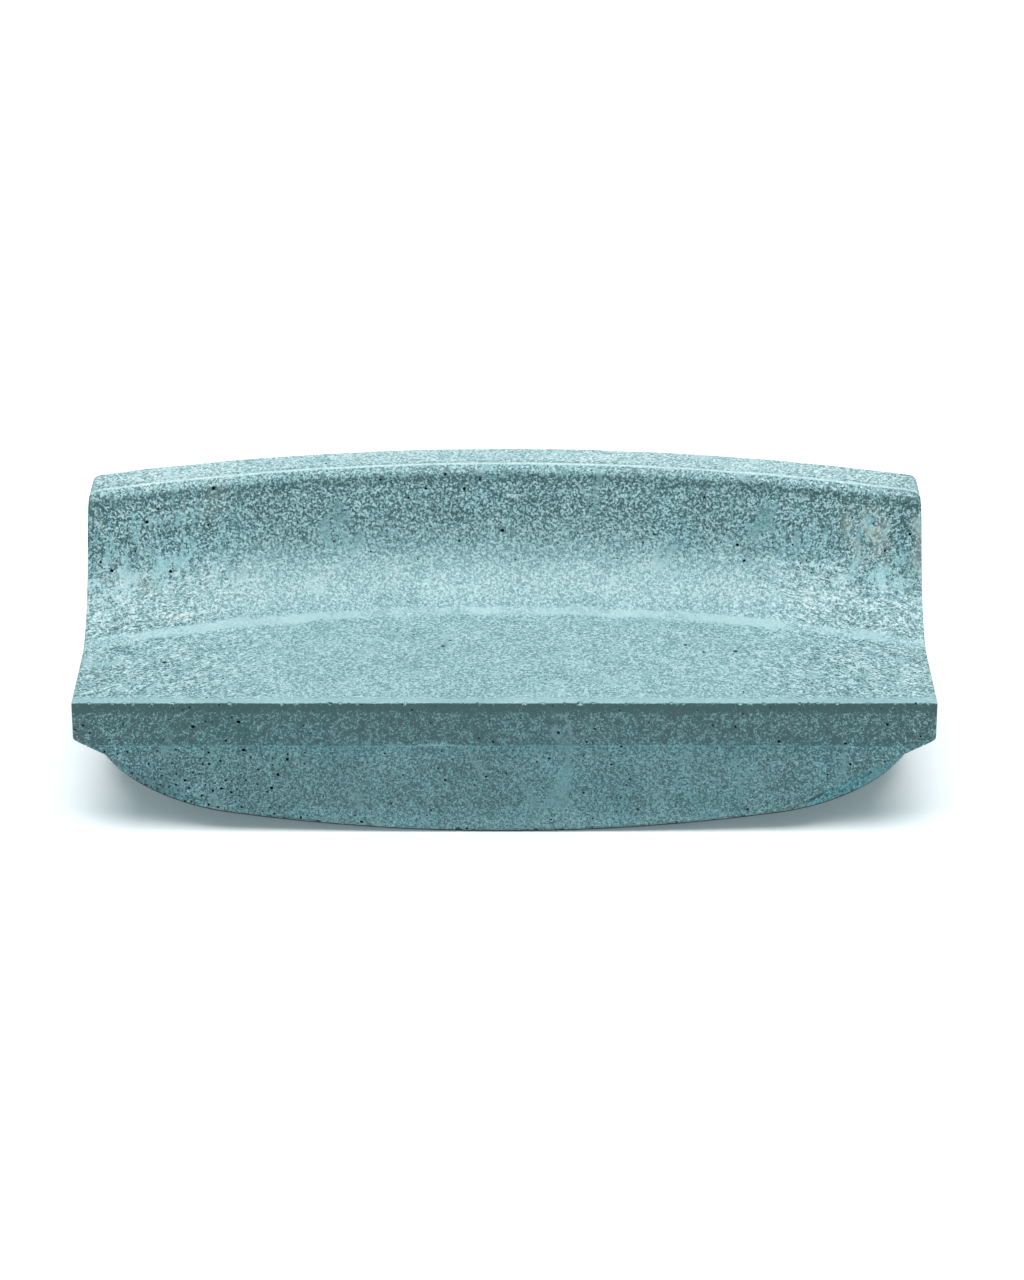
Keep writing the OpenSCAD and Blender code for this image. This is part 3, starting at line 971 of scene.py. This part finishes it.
    # Tone from deep to bloom: how much each of these lightens or darkens it; the weights of upward,
    # lip_top, upright and on_wall are painted light and shade by facing, and the others are marked where
    # they are made
    tone = 0.145 + drift + flecks + strokes
    for signal, weight in (
        (upright, -0.045),
        (on_wall, -0.035),
        (smear, 0.15),
        # Painted light: faces that look up are painted lighter
        (upward, 0.29),
        (cove_lighter_band, 0.12),
        (roll, -0.20),
        (lip_top, 0.15),
        (shade_under_edge, -0.20),
        (marbling, -0.17),
        (bounce_lit_lower_face, 0.085),
        (foot, 0.10),
        (wall_end, -0.07),
        (crease_highlight_band, 0.09),
        (pour_line, 0.12),
        # Painted light on the rocker's round front corners
        (corner, 0.12),
        (shade_under_ledge, -0.34),
        (nose_highlight, 0.17),
        (nose_trough_shade * high, -0.09),
        (uneven, 0.20),
        (cloud - 0.5, 0.16),
        (calm, 0.05),
    ):
        tone = tone + signal * weight
    tint = recipe.ramp(
        tone, (0.0, concrete.deep), (0.36, concrete.body), (0.62, concrete.pale), (1.0, concrete.bloom)
    )

    # Bluer patches along the joint and in clouds, painted floor-bounce light made bluer low on the front
    # and round the corners, and faint sandy stains at the ends
    joint_band = recipe.band(z + uneven * (3 * MM), JOINT_Z, 1.5 * MM, 3 * MM)
    blue_cloud = recipe.step(recipe.noise(place, 38 * MM, 3.0, 0.6, 0.5), 0.48, 0.66)
    blue_cloud = blue_cloud * (1 - upward * 0.8)
    blue_patches_and_bounce = bounce_lit_lower_face * 0.25 + joint_band * upright * 0.5 + blue_cloud * 0.45 + corner * 0.9 + smear * 0.4
    # The second pass makes the painted bounce light on the corners bluer still
    for amount in (recipe.math("MINIMUM", blue_patches_and_bounce, 1.0), corner * 0.7):
        tint = recipe.mix(amount, tint, concrete.blue, "MULTIPLY")
    stain = recipe.step(recipe.noise(place, 30 * MM, 3.0, 0.65, 0.5), 0.56, 0.70)
    stain = stain * near_end * above * 0.25
    spot = recipe.band(x + wander, HALF_LENGTH - 26 * MM, 5 * MM, 10 * MM)
    spot = spot * recipe.band(z + wander, TREAD_Z + 38 * MM, 3 * MM, 14 * MM) * above
    spot = spot * recipe.step(recipe.noise(place, 7 * MM, 3.0, 0.6), 0.35, 0.65) * 0.45
    tint = recipe.mix(stain + spot, tint, concrete.earth)
    rough = 0.66 + calm * -0.20 + fleck * 0.05 + cloud * 0.06
    recipe.surface({"Base Color": tint, "Roughness": rough, "Specular IOR Level": 0.45})

    grain = recipe.noise(place, 0.35 * MM, 2.0, 0.6)
    height = fleck * 0.35 + fine * 0.25 + stroke * zone * 0.5 + grain * 0.5
    recipe.bump(height * (1 - calm * 0.7), 0.10 * MM, 0.6)
    return recipe.material


def hole_shade_material(name, concrete):
    """Painted shade inside the air holes: a very dark concrete colour."""
    recipe = Recipe(name)
    grain = recipe.noise(recipe.place, 0.3 * MM, 2.0, 0.6)
    tint = recipe.mix(grain * 0.3, concrete.hole, concrete.deep)
    recipe.surface({"Base Color": tint, "Roughness": 0.7 + grain * 0.2})
    recipe.bump(grain, 0.05 * MM, 0.5)
    return recipe.material


def rubber_material(fittings):
    """Moulded rubber: fine grain, and dust where it touches the floor."""
    recipe = Recipe("moulded_rubber")
    facing = recipe.facing()
    scuff = recipe.noise(recipe.place, 18 * MM, 5.0, 0.65, 0.8)
    grain = recipe.noise(recipe.place, 0.5 * MM, 3.0, 0.6)
    dusty = recipe.step(scuff, 0.50, 0.72) * recipe.step(facing[2], -0.2, -0.9) * 0.45
    tint = recipe.mix(dusty + grain * 0.05, fittings.rubber, fittings.dust)
    recipe.surface({"Base Color": tint, "Roughness": 0.58 + scuff * 0.25})
    recipe.bump(grain + scuff * 0.4, 0.08 * MM, 0.6)
    return recipe.material


def zinc_material(fittings):
    """Zinc-plated steel: spangle, fine scratches and dull spots."""
    recipe = Recipe("zinc_plated_steel")
    place = recipe.place
    spangle = recipe.noise(place, 2.2 * MM, 3.0, 0.6, 0.3)
    dull = recipe.step(recipe.noise(place, 6 * MM, 4.0, 0.6), 0.45, 0.7)
    x, y, z = recipe.split(place)
    scratch = recipe.noise(recipe.vector(x * 0.2, y, z), 0.4 * MM, 2.0, 0.5)
    tint = recipe.mix(dull * 0.5, fittings.zinc, fittings.dull_zinc)
    tint = recipe.mix(spangle * 0.25, tint, fittings.bright_zinc)
    rough = 0.26 + dull * 0.22 + scratch * 0.10
    recipe.surface({"Base Color": tint, "Metallic": 1.0, "Roughness": rough})
    recipe.bump(scratch + spangle * 0.5, 0.03 * MM, 0.5)
    return recipe.material


def bar_material(fittings):
    """Plain reinforcing steel: mill scale with rust."""
    recipe = Recipe("reinforcing_steel")
    rust = recipe.step(recipe.noise(recipe.place, 5 * MM, 5.0, 0.65, 0.4), 0.42, 0.62)
    scale = recipe.noise(recipe.place, 1.2 * MM, 3.0, 0.6)
    tint = recipe.mix(rust * (0.45 + scale * 0.5), fittings.bar, fittings.rust)
    metallic = recipe.step(rust, 0.2, 0.8, 0.85, 0.05)
    recipe.surface({"Base Color": tint, "Metallic": metallic, "Roughness": 0.45 + rust * 0.35})
    recipe.bump(scale + rust, 0.12 * MM, 0.6)
    return recipe.material


def dress(names, material):
    """Gives CAD nodes, which keep their shape, a finished material."""
    for name in names:
        piece = frame["nodes"][name]
        if not piece.material_slots:
            piece.data.materials.append(material)
        for slot in piece.material_slots:
            slot.material = material


# ---------------------------------------------------------------- operators


class BOARD_OT_deck(bpy.types.Operator):
    """Build the deck casting with its worn edges, air holes and the places of what is cast into it"""

    bl_idname = "board.deck"
    bl_label = "Deck casting"

    def execute(self, context):
        scene = context.scene
        deck, rocker = scene.board_deck, scene.board_rocker
        concrete, holes = scene.board_concrete, scene.board_holes
        rng = np.random.default_rng(concrete.seed)
        marks = [HALF_LENGTH - deck.end_wear * step for step in (0.0, 0.08, 0.25, 0.55, 1.0)]
        marks += [HALF_LENGTH - deck.lip_corner * step for step in (0.42, 0.68, 1.0)]
        places = stations(HALF_LENGTH, deck.grid, marks)
        mesh = loft("deck", places, deck_outline(deck, rocker, concrete))
        castings = [solid_copy(name) for name in (*DECK_BARS, "locating_dowels")]
        castings += [insert_hole(x, y, holes) for x, y in bolt_places(holes)]
        arris = np.column_stack([
            np.linspace(-HALF_LENGTH, HALF_LENGTH, 900), np.full(900, FRONT_Y), np.full(900, TREAD_Z)
        ])
        piece = cast(scene, "deck", mesh, 0.0, castings, deck_density, rng, arris, concrete.chips)
        finished(piece, "deck_casting")
        return {"FINISHED"}


def deck_density(centres, normals):
    """Where the air holes of the deck are: most on the front face, few on the tread, none at the joint."""
    front = (normals[:, 1] < -0.8) * 2.2
    ends = (abs(normals[:, 0]) > 0.8) * 1.2
    back = (normals[:, 1] > 0.5) * 1.2
    upper = (normals[:, 2] > 0.2) * 0.22
    apart = centres[:, 2] > JOINT_Z + 1.5 * MM
    return (front + ends + back + upper + 0.02) * apart


def rocker_density(centres, normals):
    """Where the air holes of the rocker are: most low on the front, and thick near its left corner."""
    front = (normals[:, 1] < -0.6) * 1.6
    slanted = ((normals[:, 2] < -0.3) & (abs(normals[:, 0]) > 0.2)) * 1.2
    back = (normals[:, 1] > 0.5) * 1.2
    left = np.exp(-(((centres[:, 0] + 0.72 * HALF_LENGTH) / (34 * MM)) ** 2))
    left = left * (normals[:, 1] < -0.4) * 18.0
    apart = (centres[:, 2] < JOINT_Z - 1.5 * MM) & (normals[:, 2] < 0.5)
    flat_seat = (normals[:, 2] < -0.8) & (abs(centres[:, 0]) < 0.64 * HALF_LENGTH)
    return (front + slanted + back + left + 0.02) * apart * ~flat_seat


class BOARD_OT_rocker(bpy.types.Operator):
    """Build the rocker casting with its curved underside, corner cuts, bolt pockets and air holes"""

    bl_idname = "board.rocker"
    bl_label = "Rocker casting"

    def execute(self, context):
        scene = context.scene
        deck, rocker = scene.board_deck, scene.board_rocker
        concrete, holes = scene.board_concrete, scene.board_holes
        rng = np.random.default_rng(concrete.seed + 100)
        places = rocker_stations(deck, rocker)
        mesh = loft("rocker", places, rocker_outline(deck, rocker, concrete))
        castings = [solid_copy(name) for name in (*ROCKER_BARS, "locating_dowels")]
        castings += [bolt_hole(x, y, holes) for x, y in bolt_places(holes)]
        edge_x = np.linspace(-CHIPPED_REACH, CHIPPED_REACH, 500)
        radius = rocker.rolling_radius - rocker.sole_proud
        edge_z = rocker.rolling_radius - np.sqrt(radius**2 - edge_x**2)
        low_edge = np.column_stack([edge_x, np.full(len(edge_x), FRONT_Y), edge_z])
        chip_count = concrete.chips // 3
        piece = cast(
            scene, "rocker", mesh, -0.01, castings, rocker_density, rng, low_edge, chip_count
        )
        finished(piece, "rocker_casting")
        return {"FINISHED"}


class BOARD_OT_rubber(bpy.types.Operator):
    """Finish the rubber sole and the plugs under the bolts"""

    bl_idname = "board.rubber"
    bl_label = "Sole and plugs"

    def execute(self, context):
        dress(RUBBERS, rubber_material(context.scene.board_fittings))
        return {"FINISHED"}


class BOARD_OT_fixings(bpy.types.Operator):
    """Finish the bolts, washers, inserts and dowels"""

    bl_idname = "board.fixings"
    bl_label = "Fixings"

    def execute(self, context):
        dress(FIXINGS, zinc_material(context.scene.board_fittings))
        return {"FINISHED"}


class BOARD_OT_bars(bpy.types.Operator):
    """Finish the reinforcing bars, stirrups and ties"""

    bl_idname = "board.bars"
    bl_label = "Reinforcement"

    def execute(self, context):
        dress((*DECK_BARS, *ROCKER_BARS), bar_material(context.scene.board_fittings))
        return {"FINISHED"}


class BOARD_OT_stage(bpy.types.Operator):
    """Build the floor, the light and the camera"""

    bl_idname = "board.stage"
    bl_label = "Stage"

    def execute(self, context):
        scene, stage = context.scene, context.scene.board_stage
        build_floor(stage)
        build_light(scene, stage)
        build_camera(scene, stage)
        scene.view_settings.view_transform = "Standard"
        return {"FINISHED"}


def build_floor(stage):
    """A plain pale floor that gives off a little light, like a light table."""
    half = stage.floor_size / 2
    mesh = bpy.data.meshes.new("floor")
    corners = [(-half, -half, 0), (half, -half, 0), (half, half, 0), (-half, half, 0)]
    mesh.from_pydata(corners, [], [(0, 1, 2, 3)])
    floor = bpy.data.objects.new("floor", mesh)
    bpy.context.collection.objects.link(floor)
    recipe = Recipe("floor_paint")
    recipe.surface({
        "Base Color": stage.floor,
        "Roughness": 0.9,
        "Specular IOR Level": 0.1,
        "Emission Color": stage.glow,
        "Emission Strength": 1.0,
    })
    mesh.materials.append(recipe.material)


def build_light(scene, stage):
    """A broad soft light overhead in an even bright room."""
    world = bpy.data.worlds.new("room")
    world.use_nodes = True
    background = world.node_tree.nodes["Background"]
    background.inputs["Color"].default_value = (*stage.sky_colour, 1.0)
    background.inputs["Strength"].default_value = stage.sky
    scene.world = world
    light = bpy.data.lights.new("top_light", "AREA")
    light.shape = "RECTANGLE"
    light.size = stage.top_width
    light.size_y = stage.top_depth
    light.energy = stage.top_power
    lamp = bpy.data.objects.new("top_light", light)
    lamp.location = (0.0, FRONT_Y - stage.top_forward, stage.top_height)
    bpy.context.collection.objects.link(lamp)


def build_camera(scene, stage):
    """A long lens that looks down at the front of the board."""
    camera = bpy.data.cameras.new("camera")
    camera.lens = stage.lens
    camera.sensor_width = 36.0
    camera.clip_end = 50.0
    holder = bpy.data.objects.new("camera", camera)
    back = Vector((0.0, -math.cos(stage.elevation), math.sin(stage.elevation)))
    holder.location = Vector(stage.aim) + stage.distance * back
    holder.rotation_euler = (math.pi / 2 - stage.elevation, 0.0, 0.0)
    bpy.context.collection.objects.link(holder)
    scene.camera = holder


class BOARD_PT_panel(bpy.types.Panel):
    """Lists what can be built"""

    bl_idname = "BOARD_PT_panel"
    bl_label = "Balance Board"
    bl_space_type = "VIEW_3D"
    bl_region_type = "UI"
    bl_category = "Balance Board"

    def draw(self, context):
        for operator in OPERATORS:
            self.layout.operator(operator.bl_idname)
        for name, _ in SETTINGS:
            group = getattr(context.scene, name)
            box = self.layout.box()
            for key in group.__annotations__:
                box.prop(group, key, text=key.replace("_", " ").capitalize())


OPERATORS = (
    BOARD_OT_deck,
    BOARD_OT_rocker,
    BOARD_OT_rubber,
    BOARD_OT_fixings,
    BOARD_OT_bars,
    BOARD_OT_stage,
)
SETTINGS = (
    ("board_deck", DeckSettings),
    ("board_rocker", RockerSettings),
    ("board_holes", HoleSettings),
    ("board_concrete", ConcreteSettings),
    ("board_fittings", FittingSettings),
    ("board_stage", StageSettings),
)


def register():
    for name, group in SETTINGS:
        bpy.utils.register_class(group)
        setattr(bpy.types.Scene, name, PointerProperty(type=group))
    for operator in OPERATORS:
        bpy.utils.register_class(operator)
    bpy.utils.register_class(BOARD_PT_panel)


def unregister():
    bpy.utils.unregister_class(BOARD_PT_panel)
    for operator in reversed(OPERATORS):
        bpy.utils.unregister_class(operator)
    for name, group in reversed(SETTINGS):
        delattr(bpy.types.Scene, name)
        bpy.utils.unregister_class(group)


def main():
    """Builds everything."""
    register()
    bpy.ops.board.deck()
    bpy.ops.board.rocker()
    bpy.ops.board.rubber()
    bpy.ops.board.fixings()
    bpy.ops.board.bars()
    bpy.ops.board.stage()


if __name__ == "__main__":
    main()
